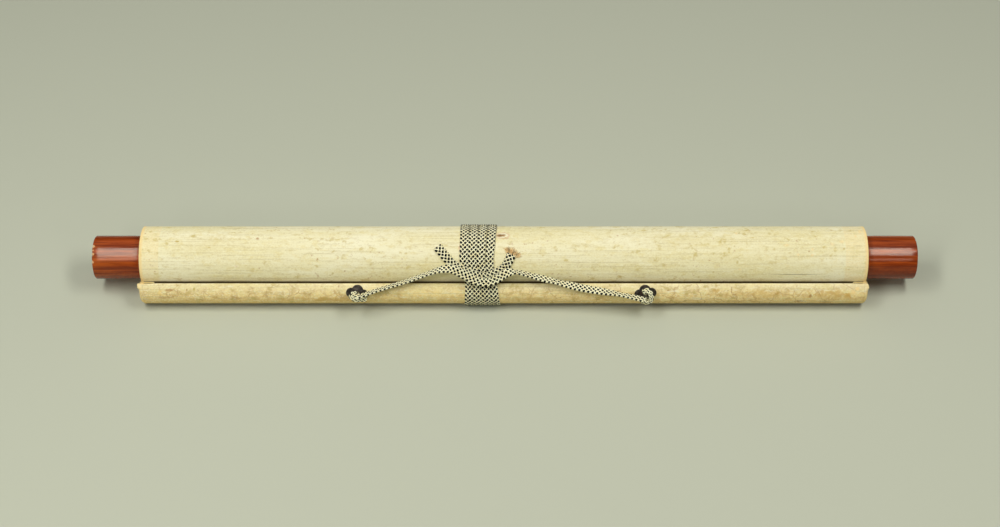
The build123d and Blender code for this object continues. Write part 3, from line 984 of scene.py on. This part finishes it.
winding = {
    # x of the middle of each turn, at places round the girth from the top down the front
    "levels": (-14.4, 8.4, 19.7, 34.5, 48.8),
    "turns": (
        (-27.7, -27.9, -28.8, -24.3, -25.1),
        (-21.3, -21.9, -22.9, -18.9, -18.8),
        (-14.8, -15.9, -17.0, -13.5, -12.6),
        (-8.4, -9.7, -11.0, -8.2, -6.3),
    ),
    "start": ((-21.5, -66.0), (-22.5, -52.0), (-27.0, -36.0)),
    "crossing": ((0.2, 68.0), (0.8, 118.0)),               # share of the way to the next turn, and level
    "end": ((-6.3, 66.0), (-8.0, 84.0), (-11.0, 98.0), (-12.0, 108.0)),
    # at the back these stretches rise over what lies under them: from and to, in all and from the top
    "risen": ((60, 151, 76, 126), (2 * girth + 60, 3 * girth, 70, 124)),
    "hump": (99, 25),        # its middle, from the top, and its reach
    "squeeze": (0.98, 0.95, 0.92, 0.84, 0.96),
    "gap": 0.05,
    "over": 1.05,            # how far a turn rises over a tucked end at the back
    "steep": 1.6,            # times the hump, so that it is up before the middle
    "beyond": 0.4,           # only half of the sleeve is woven, and this far past the folded edges
}


def wrapCord():
    points = [(x, level, 0) for x, level in winding["start"]]
    for number, turn in enumerate(winding["turns"]):
        start = number * girth
        points += [(x, start + level, 0) for x, level in zip(turn, winding["levels"])]
        if number < 3:
            step = winding["turns"][number + 1][0] - turn[-1]
            points += [(turn[-1] + step * share, start + level, 0) for share, level in winding["crossing"]]
    points += [(x, 3 * girth + level, 0) for x, level in winding["end"]]

    def squeeze(here):
        low = (here[:, 1] + 30) % girth - 30
        return np.interp(low, winding["levels"], winding["squeeze"])

    def base(x, around):
        back = around % girth
        risen = np.zeros(len(around), bool)
        for start, end, high, low in winding["risen"]:
            risen |= (around > start) & (around < end) & (back > high) & (back < low)
        middle, reach = winding["hump"]
        hump = ease(np.clip(1 - np.abs(back - middle) / reach, 0, 1))
        rise = winding["over"] * np.minimum(1, hump * winding["steep"])
        return winding["gap"] + np.where(risen, rise, 0.0)

    place, length = onScroll(smoothLine(points), base, squeeze)
    shape = weaveSleeve(length, "long", -winding["beyond"], flatWidth + winding["beyond"])
    # only the half of the lining that the turns show
    gone = [f for f in shape.faces if f.material_index == 2 and f.calc_center_median().y > flatWidth + 0.5]
    bmesh.ops.delete(shape, geom=gone, context="FACES")
    cord = finishBraid("windingBraid", shape, place, braidLooks)
    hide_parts("winding_cord")
    print("winding braid:", round(length), "mm")


tuck = {
    # the last of the winding cord: (x, length round the girth) from the left tail to the right one
    "line": (
        (-46.9, 9.2), (-41.2, 15.8), (-36.0, 21.7), (-28.9, 25.5), (-20.6, 29.0),
        (-14.4, 30.5), (-7.5, 28.0), (-1.3, 24.8), (1.2, 22.3), (4.6, 14.6),
    ),
    "band": (-32.0, -5.2),   # between these it lies on the winding
    "gap": 0.06,
    "lift": 1.2,
    "slope": 3.0,            # length over which it rises
    "closing": 1.4,          # the tail's end is pressed shut over this length
    "flareFrom": -10.0,      # x where the right tail starts
    "flareAt": (4.5, 9.0, 16.0, 22.0),
    "flare": (1.22, 1.1, 1.02, 1.0),
}
tuckLine = smoothLine([(x, around, 0) for x, around in tuck["line"]])


def tuckBase(x, around):
    left, right = tuck["band"]
    slope = tuck["slope"]
    up = np.clip((x - left + slope / 2) / slope, 0, 1) * np.clip((right + slope / 2 - x) / slope, 0, 1)
    return tuck["gap"] + tuck["lift"] * ease(up)


def tuckWidth(here):
    # the right tail spreads towards its frayed end
    flare = np.interp(here[:, 1], tuck["flareAt"], tuck["flare"])
    return np.where(here[:, 0] > tuck["flareFrom"], flare, 1.0)


def tuckCord():
    place, length = onScroll(tuckLine, tuckBase, tuckWidth, tuck["closing"])
    cord = finishBraid("tuckedBraid", weaveSleeve(length, "long"), place, braidLooks)
    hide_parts("winding_cord")
    print("tucked braid:", round(length), "mm")


wrapCord()
tuckCord()


# The hanging cord, between the two eyelets

hanging = {
    "route": (
        (-102.3, -31.12, 20.48), (-92, -26.2, 21.3), (-80, -22.9, 23.0), (-66.8, -20.4, 26.2),
        (-54.4, -18.0, 30.3), (-44.7, -16.6, 33.8), (-37, -17.0, 35.7), (-28.5, -19.6, 32.0),
        (-21, -21.6, 28.2), (-13, -22.7, 26.5), (-5.5, -21.2, 28.9), (1.5, -18.5, 33.2), (9, -17.9, 32.6),
        (18.5, -18.5, 29.4), (30, -19.6, 26.5), (42, -21.3, 23.7), (55, -23.0, 21.2), (68, -24.3, 19.6),
        (80, -25.8, 18.4), (90, -27.8, 17.2), (97.2, -30.6, 17.6),
    ),
    # how far the flat cord is turned on edge, in degrees, and how wide it is, at places along the scroll
    "turnAt": (-103, -95, -52, -45, -36, -28, -3, 3, 7, 18, 28, 36, 46, 66, 80, 92, 98),
    "turn": (-60, -78, -76, -60, -8, 0, 0, -30, -74, -66, -57, -70, -50, -55, -74, -66, -40),
    "wide": (0.5, 0.85, 0.95, 0.95, 1.0, 1.0, 1.0, 0.95, 0.85, 0.9, 1.0, 0.9, 1.0, 1.0, 0.85, 0.85, 0.62),
    "facing": (0.0, -0.84, 0.545),
}


def onLine(line, facings, width):
    # a placing function for a braid on a line in space, with the way its flat side faces at each point
    lengths = lengthsAlong(line)
    heading = unit(np.gradient(line, axis=0))

    def place(points):
        at = np.clip(points[:, 0], 0, lengths[-1])
        across, height = pressFlat(points[:, 1], points[:, 2])
        here = along(line, lengths, at)
        way = unit(along(heading, lengths, at))
        out = along(facings, lengths, at)
        out = unit(out - way * np.sum(out * way, axis=1)[:, None])
        side = np.cross(out, way)
        narrow = width(here)
        thicker = 1 + braid["thicken"] * (1 - narrow)
        return here + side * (across * narrow)[:, None] + out * (height * thicker)[:, None]
    return place, lengths[-1]


def hangCord():
    line = smoothLine(hanging["route"])
    heading = unit(np.gradient(line, axis=0))
    facing = np.array(hanging["facing"])
    turn = np.radians(np.interp(line[:, 0], hanging["turnAt"], hanging["turn"]))[:, None]
    facings = np.cos(turn) * facing + np.sin(turn) * np.cross(heading, facing)

    def width(here):
        return np.interp(here[:, 0], hanging["turnAt"], hanging["wide"])
    place, length = onLine(line, facings, width)
    cord = finishBraid("hangingBraid", weaveSleeve(length, "round"), place, braidLooks)
    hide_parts("hanging_cord")
    print("hanging braid:", round(length, 1), "mm")
    return cord, line, length


knots = {
    "x": {"left": -102.3, "right": 97.2},
    "ring": (-26.15, 18.11),
    "up": (0.0, 0.4305, 0.9026),
    "out": (0.0, -0.9026, 0.4305),
    "narrow": (0.32, 0.56),  # the cord's width in the ring and clear of it
    "narrowAt": (1.5, 4.38),
    # route round each eyelet ring: along the scroll, up the stave, out from it, from the ring's middle
    "left": (
        (2.2, 1.2, 5.2), (-0.8, 1.6, 5.4), (-3.3, 0.8, 4.6), (-4.2, -0.8, 3.2), (-2.6, -2.2, 1.8),
        (-0.6, -1.6, 0.3), (0.0, 0.0, 0.0), (-0.4, 2.2, 0.7), (-1.8, 2.6, 2.9), (-2.8, 1.2, 4.7),
        (-1.9, -0.6, 5.6), (0.0, -1.7, 4.8), (2.2, -1.9, 3.4), (4.6, -2.2, 2.3), (6.8, -2.5, 1.7),
    ),
    "right": (
        (-2.6, -2.9, 4.6), (-0.6, -4.2, 4.0), (1.6, -4.6, 3.2), (3.4, -3.2, 3.0), (3.8, -0.2, 3.4),
        (2.8, 3.2, 3.6), (0.2, 4.9, 3.0), (-2.1, 3.4, 2.2), (-0.9, 1.6, 0.7), (0.0, -0.6, 0.0),
        (0.3, -2.2, 0.6), (1.6, -3.2, 1.8), (3.4, -3.0, 2.2), (4.8, -2.2, 1.6),
    ),
}


def tieKnot(side):
    up, out = np.array(knots["up"]), np.array(knots["out"])
    ring = np.array((knots["x"][side], *knots["ring"]))
    line = smoothLine([ring + np.array((a, 0, 0)) + up * b + out * c for a, b, c in knots[side]])
    middle = line.mean(axis=0) - out * 2.0

    def width(here):
        return np.interp(np.linalg.norm(here - ring, axis=1), knots["narrowAt"], knots["narrow"])
    place, length = onLine(line, unit(line - middle) + out * 0.4, width)
    knot = finishBraid(side + "KnotBraid", weaveSleeve(length, "sparse"), place, braidLooks)
    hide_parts("hanging_cord")
    return knot


cord, cordLine, cordLength = hangCord()
endKnots = [tieKnot("left"), tieKnot("right")]
print("cord and knots made")


# The frayed end of the tucked cord

fray = {
    "count": 220,
    "length": (3.2, 5.8),
    "spread": 56.0,          # degrees each way
    "width": 7.4,
    "thick": 0.2,
    "blackShare": 0.13,
    "inBraid": 0.6,          # how far the fibres start inside the braid's end
    "level": (-0.45, 0.5),   # where they start in the braid's thickness
    "bend": 0.3,
    "tan": (0.96, 0.72, 0.35, 1.0),
    "brown": (0.72, 0.40, 0.14, 1.0),
    "seed": 7,
}


def growFibres():
    rng = np.random.default_rng(fray["seed"])
    shape = bmesh.new()
    bmesh.ops.create_cone(
        shape, cap_ends=True, segments=4, radius1=fray["thick"] / 2, radius2=fray["thick"] * 0.18,
        depth=1.0, matrix=Matrix.Rotation(math.radians(90), 4, "Y"),
    )
    bmesh.ops.translate(shape, vec=(0.5, 0, 0), verts=shape.verts)
    sides = [e for e in shape.edges if abs(e.verts[0].co.x - e.verts[1].co.x) > 0.5]
    bmesh.ops.subdivide_edges(shape, edges=sides, cuts=3)
    first = shape.verts[:] + shape.edges[:] + shape.faces[:]
    where = {}
    for number in range(fray["count"]):
        parts = first
        if number:
            parts = bmesh.ops.duplicate(shape, geom=first)["geom"]
            if rng.random() < fray["blackShare"]:
                for face in [part for part in parts if isinstance(part, bmesh.types.BMFace)]:
                    face.material_index = 1
        start = rng.uniform(-1, 1)
        long = rng.uniform(*fray["length"]) * (1 - 0.25 * abs(start))
        angle = math.radians(fray["spread"] * (0.75 * start + 0.25 * rng.normal()))
        level = rng.uniform(*fray["level"])
        bend, rise = rng.normal(0, fray["bend"]), rng.normal(0, fray["bend"])
        for v in vertsOf(parts):
            where[v] = (start, long, angle, level, bend, rise)
    for v, (start, long, angle, level, bend, rise) in where.items():
        share = v.co.x
        reach = share * long
        v.co = (
            reach * math.cos(angle) - v.co.y * math.sin(angle) - fray["inBraid"],
            start * fray["width"] / 2 + reach * math.sin(angle) + bend * share ** 2 + v.co.y,
            max(level * (1 + 0.5 * share) + rise * share ** 2 + v.co.z, -0.5),
        )
    return shape


def frayEnd():
    end = tuckLine[-1, :2]
    way = end - tuckLine[-6, :2]
    way /= np.linalg.norm(way)

    def place(points):
        x = end[0] + way[0] * points[:, 0] + way[1] * points[:, 1]
        around = end[1] + way[1] * points[:, 0] - way[0] * points[:, 1]
        return np.column_stack([x, roundScroll(around, tuck["gap"] + halfThick + points[:, 2])])
    material, tree, shader, where = newMaterial("frayedFibre", {"Roughness": 0.8})
    shade = noiseOf(tree, where, 900.0, 2.0)
    colour = mixColour(tree, rampValue(tree, shade, 0.48, 0.74), fray["tan"], fray["brown"])
    tree.links.new(colour, shader.inputs["Base Color"])
    fibres = finishBraid("frayedTail", growFibres(), place, [material, braidLooks[1]])
    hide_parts("winding_cord")


frayEnd()
print("tail frayed")


# Turned end knobs

knob = {
    "radius": 15.15,
    "chamfer": 0.55,
    "innerChamfer": 0.3,
    "dish": 0.12,            # how hollow the outer face is
    "swell": 0.04,           # how uneven the turned side is
    "swellAt": (0.15, 0.35, 0.55, 0.75, 0.9),
    "swellRate": 19,
    "tenon": 7.05,
    "tenonDepth": 16.0,
    "steps": 128,
    "sharp": (35.0, 40.0),   # edges over these angles are bevelled, and stay sharp in the shading
    "bevel": 0.12,
    "knockReach": 1.2,       # small knocks reach this far in from the outer face
    "knockLeast": 0.32,
    "knockScale": (0.5, 0.9, 0.9),
    "left": (-286.2, -252.6),
    "right": (286.2, 250.8),
    "dark": (0.16, 0.020, 0.004, 1.0),
    "mid": (0.42, 0.072, 0.009, 1.0),
    "light": (0.60, 0.150, 0.026, 1.0),
    "noise": {
        "grain": ((18.0, 420.0, 420.0), 1.0, 6.0, 0.65, 0.3),
        "pores": ((90.0, 1500.0, 1500.0), 1.0, 2.0, 0.5),
        "broad": ((10.0, 60.0, 60.0), 1.0, 3.0),
    },
    "tones": (
        ("grain", 0.34, 0.68, "mid", 1.0),
        ("broad", 0.42, 0.68, "light", 0.55),
        ("pores", 0.56, 0.72, "dark", 0.7),
    ),
    "rough": (0.12, 0.26),
    "chip": (0.85, 0.52, 0.24, 1.0),
    "chips": (               # knocked spots on the left rim: place and size
        (-286.0, 2.0, 37.2, 1.8, 2.0, 1.2), (-285.6, -0.9, 36.3, 1.0, 1.0, 1.0),
        (-286.0, -3.2, 35.0, 1.7, 1.1, 1.2), (-285.8, -7.2, 31.0, 1.3, 1.2, 1.2),
    ),
    "darkerLow": (             # painted shade on the knobs' lower front: place and size
        (-262.0, -6.5, 15.5, 60.0, 9.0, 10.0), (262.0, -8.0, 18.5, 60.0, 8.0, 11.0),
    ),
}


def knobMaterial():
    values = {"IOR": 1.385, "Specular Tint": (1.0, 0.95, 0.82, 1.0)}
    material, tree, shader, place = newMaterial("knobWood", values)
    seen = seeNoises(tree, place, knob["noise"])
    colour = layTones(tree, knob["dark"], seen, knob, knob["tones"])
    patches = [(spot[:3], spot[3:], (0.35, 0.4), 0.85, knob["chip"]) for spot in knob["chips"]]
    # the knobs' lower front darkened as painted shade
    patches += [(spot[:3], spot[3:], (0.3, 0.9), 0.75, knob["dark"]) for spot in knob["darkerLow"]]
    colour = layPatches(tree, colour, place, wobbleOf(tree, place), patches)
    tree.links.new(colour, shader.inputs["Base Color"])
    roughenBy(tree, shader, seen["grain"], *knob["rough"])
    rise = addMath(tree, "ADD", seen["grain"], multiply(tree, seen["pores"], -0.4))
    addBump(tree, shader, rise, 0.22, 0.3 * mm)
    return material


def knobProfile(outer, inner, way):
    # (x, radius) from the middle of the outer face to the middle of the tenon's end
    radius, chamfer, edge = knob["radius"], knob["chamfer"], knob["innerChamfer"]
    profile = [(outer, 0.0), (outer - knob["dish"] * way, radius * 0.5)]
    profile += [(outer, radius - chamfer), (outer + chamfer * way, radius)]
    for share in knob["swellAt"]:
        swollen = radius + knob["swell"] * math.sin(share * knob["swellRate"])
        profile.append((outer + (inner - outer) * share, swollen))
    end = inner - knob["tenonDepth"] * way
    profile += [(inner - edge * way, radius), (inner, radius - edge), (inner, knob["tenon"])]
    return profile + [(end, knob["tenon"]), (end, 0.0)]


def turnKnob(side):
    outer, inner = knob[side]
    way = 1 if inner > outer else -1
    shape = bmesh.new()
    centre = Vector((0, *rollCentre))
    profile = knobProfile(outer, inner, way)
    verts = [shape.verts.new((x, centre.y, centre.z + radius)) for x, radius in profile]
    for a, b in zip(verts, verts[1:]):
        shape.edges.new((a, b))
    bmesh.ops.spin(
        shape, geom=shape.verts[:] + shape.edges[:], cent=centre, axis=(1, 0, 0), angle=math.tau,
        steps=knob["steps"], use_merge=True,
    )
    bmesh.ops.remove_doubles(shape, verts=shape.verts, dist=0.001)
    bent, shaded = (math.radians(angle) for angle in knob["sharp"])
    sharp = [e for e in shape.edges if len(e.link_faces) == 2 and e.calc_face_angle(0.0) > bent]
    bmesh.ops.bevel(
        shape, geom=sharp, offset=knob["bevel"], offset_type="OFFSET", segments=2, profile=0.5, material=-1,
        affect="EDGES",
    )
    for v in shape.verts:
        # small knocks on the outer rim
        if abs(v.co.x - outer) < knob["knockReach"]:
            knock = noiseAt(v.co, knob["knockScale"]) - knob["knockLeast"]
            if knock > 0:
                v.co.x += knock * way
                v.co -= (v.co - Vector((v.co.x, centre.y, centre.z))).normalized() * knock * 0.8
    bmesh.ops.scale(shape, vec=(mm, mm, mm), verts=shape.verts)
    piece = addPiece(side + "Knob", shape, knobWood)
    piece.data.set_sharp_from_angle(angle=shaded)
    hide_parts(side + "_knob")


knobWood = knobMaterial()
turnKnob("left")
turnKnob("right")
print("knobs turned")


# Eyelet plates and eyelets

plate = {
    "width": 15.4,
    "height": 12.4,
    "lobes": (8.0, 7.0),     # across the upper and lower lobes, and the side lobes
    "angle": 154.5,          # of its middle, round the stave
    "hole": 1.3,
    "holeShare": 0.2,
    "turn": {"left": -8.0, "right": 8.0},
    # share of the way out from the hole, and height over the paper, from the outer foot to the hole
    "profile": (
        (1.0, 0.34), (0.985, 0.52), (0.95, 0.6), (0.90, 0.56), (0.86, 0.44), (0.80, 0.37),
        (0.66, 0.35), (0.5, 0.38), (0.36, 0.44), (0.24, 0.5),
    ),
    "dark": (0.030, 0.025, 0.020, 1.0),
    "worn": (0.115, 0.095, 0.075, 1.0),
    "rust": (0.075, 0.035, 0.018, 1.0),
    "noise": {"mottle": ((1.0, 1.0, 1.0), 520.0, 5.0, 0.65), "rusty": ((1.0, 1.0, 1.0), 210.0, 3.0, 0.5)},
    "tones": (("mottle", 0.42, 0.68, "worn", 1.0), ("rusty", 0.55, 0.75, "rust", 0.6)),
    "rough": (0.36, 0.62),
    "rubbed": (              # lobes rubbed paler: place and size
        (-102.8, -22.3, 20.4, 4.2, 2.6, 2.2), (-107.6, -24.6, 16.6, 2.4, 2.4, 2.6),
        (97.6, -22.3, 20.4, 4.2, 2.6, 2.2), (102.6, -24.6, 16.6, 2.4, 2.4, 2.6),
    ),
}


def metalMaterial():
    material, tree, shader, place = newMaterial("darkMetal", {"Metallic": 0.55})
    seen = seeNoises(tree, place, plate["noise"])
    colour = layTones(tree, plate["dark"], seen, plate, plate["tones"])
    patches = [(spot[:3], spot[3:], (0.1, 0.8), 0.8, plate["worn"]) for spot in plate["rubbed"]]
    colour = layPatches(tree, colour, place, seen["rusty"], patches)
    tree.links.new(colour, shader.inputs["Base Color"])
    roughenBy(tree, shader, seen["mottle"], *plate["rough"])
    addBump(tree, shader, seen["mottle"], 0.3, 0.15 * mm)
    return material


def plateReach(angle):
    # distance from the middle to the outline of the four round lobes
    tall, wide = plate["lobes"][0] / 2, plate["lobes"][1] / 2
    reachX, reachY = plate["width"] / 2 - wide, plate["height"] / 2 - tall
    lobes = ((reachX, 0.0, wide), (-reachX, 0.0, wide), (0.0, reachY, tall), (0.0, -reachY, tall))
    best = 0.0
    for x, y, radius in lobes:
        ahead = x * math.cos(angle) + y * math.sin(angle)
        off = x * x + y * y - ahead * ahead
        if off < radius * radius:
            best = max(best, ahead + math.sqrt(radius * radius - off))
    return best


def pressPlate(side):
    shape = bmesh.new()
    bmesh.ops.create_circle(shape, cap_ends=False, segments=120, radius=1.0)
    for v in shape.verts:
        angle = math.atan2(v.co.y, v.co.x)
        v.co = Vector((math.cos(angle), math.sin(angle), 0)) * plateReach(angle)
    ring = shape.edges[:]
    before = 1.0
    for share, height in plate["profile"]:
        made = bmesh.ops.extrude_edge_only(shape, edges=ring)["geom"]
        verts = vertsOf(made)
        ring = [e for e in made if isinstance(e, bmesh.types.BMEdge) and all(v in verts for v in e.verts)]
        for v in verts:
            flat = Vector((v.co.x, v.co.y, 0))
            hole = flat.normalized() * plate["hole"]
            v.co = hole + (flat - hole) * ((share - plate["holeShare"]) / (before - plate["holeShare"]))
            v.co.z = height
        before = share
    turn = math.radians(plate["turn"][side])
    for v in shape.verts:
        a = v.co.x * math.cos(turn) - v.co.y * math.sin(turn)
        b = v.co.x * math.sin(turn) + v.co.y * math.cos(turn)
        angle = plate["angle"] - math.degrees(b / (wrapRadius + 0.3))
        spot = polar(staveCentre, wrapRadius + 0.05 + v.co.z, angle)
        v.co = Vector((knots["x"][side] + a, *spot)) * mm
    piece = addPiece(side + "Plate", shape, darkMetal)
    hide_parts(side + "_eyelet_plate")


darkMetal = metalMaterial()
pressPlate("left")
pressPlate("right")
for side in ("left", "right"):
    dressNode(side + "_eyelet", darkMetal)
print("plates pressed, eyelets set")


# The caps on the stave's ends, and their torn edges

capLip = {
    # the loose paper edge round each cap: where it starts, and (turn round the stave, x of its torn edge)
    "left": {
        "from": -250.4,
        "edge": (
            (119.3, -253.9), (122.0, -254.5), (134.0, -254.2), (141.0, -253.1),
            (170.0, -252.9), (196.0, -252.0), (206.0, -250.9),
        ),
    },
    "right": {
        "from": 248.6,
        "edge": (
            (119.5, 250.9), (126.0, 251.7), (137.0, 251.8), (145.0, 251.1),
            (170.0, 250.9), (196.0, 250.3), (206.0, 249.1),
        ),
    },
    "steps": (72, 6),
    "rise": 0.22,            # over the cap where it starts
    "droop": 0.9,            # of the torn edge, away from the corner
    "droopFrom": 134,        # turn where it starts, and the turn over which it grows
    "droopOver": 10,
    "wavy": 0.12,
    "ragged": 0.35,
    "thick": 0.28,
}


def tearLip(side):
    lip = capLip[side]
    turns, ends = zip(*lip["edge"])
    steps, rows = capLip["steps"]
    shape = bmesh.new()
    bmesh.ops.create_grid(shape, x_segments=steps, y_segments=rows, size=0.5)
    for v in shape.verts:
        turn = turns[0] + (v.co.x + 0.5) * (turns[-1] - turns[0])
        out = v.co.y + 0.5
        torn = np.interp(turn, turns, ends)
        torn += capLip["ragged"] * noise.noise(Vector((turn * 0.31, ends[0], 0)))
        wave = capLip["wavy"] * noise.noise(Vector((turn * 0.17, out * 2, ends[0])))
        droop = capLip["droop"] * np.clip((turn - capLip["droopFrom"]) / capLip["droopOver"], 0, 1)
        radius = wrapRadius + capLip["rise"] - droop * out * out + wave
        v.co = Vector((lip["from"] + (torn - lip["from"]) * out, *polar(staveCentre, radius, turn))) * mm
    piece = addPiece(side + "CapLip", shape, mountingPaper)
    wall = piece.modifiers.new("paperThickness", "SOLIDIFY")
    wall.thickness = capLip["thick"] * mm
    wall.offset = 0.0
    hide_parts(side + "_stave_cap")


for side in ("left", "right"):
    dressNode(side + "_stave_cap", mountingPaper)
    tearLip(side)


# The wood under the paper

wood = {
    "pale": (0.56, 0.40, 0.22, 1.0),
    "dark": (0.34, 0.21, 0.10, 1.0),
    "noise": {"grain": ((9.0, 300.0, 300.0), 1.0, 5.0, 0.6)},
}


def sawnMaterial():
    material, tree, shader, place = newMaterial("sawnWood", {"Roughness": 0.7})
    seen = seeNoises(tree, place, wood["noise"])
    colour = layTones(tree, wood["pale"], seen, wood, [("grain", 0.35, 0.7, "dark", 1.0)])
    tree.links.new(colour, shader.inputs["Base Color"])
    addBump(tree, shader, seen["grain"], 0.3, 0.3 * mm)
    return material


sawnWood = sawnMaterial()
for name in ("roller_rod", "top_stave"):
    for slot in nodes[name].material_slots:
        slot.material = sawnWood
print("caps and wood dressed")
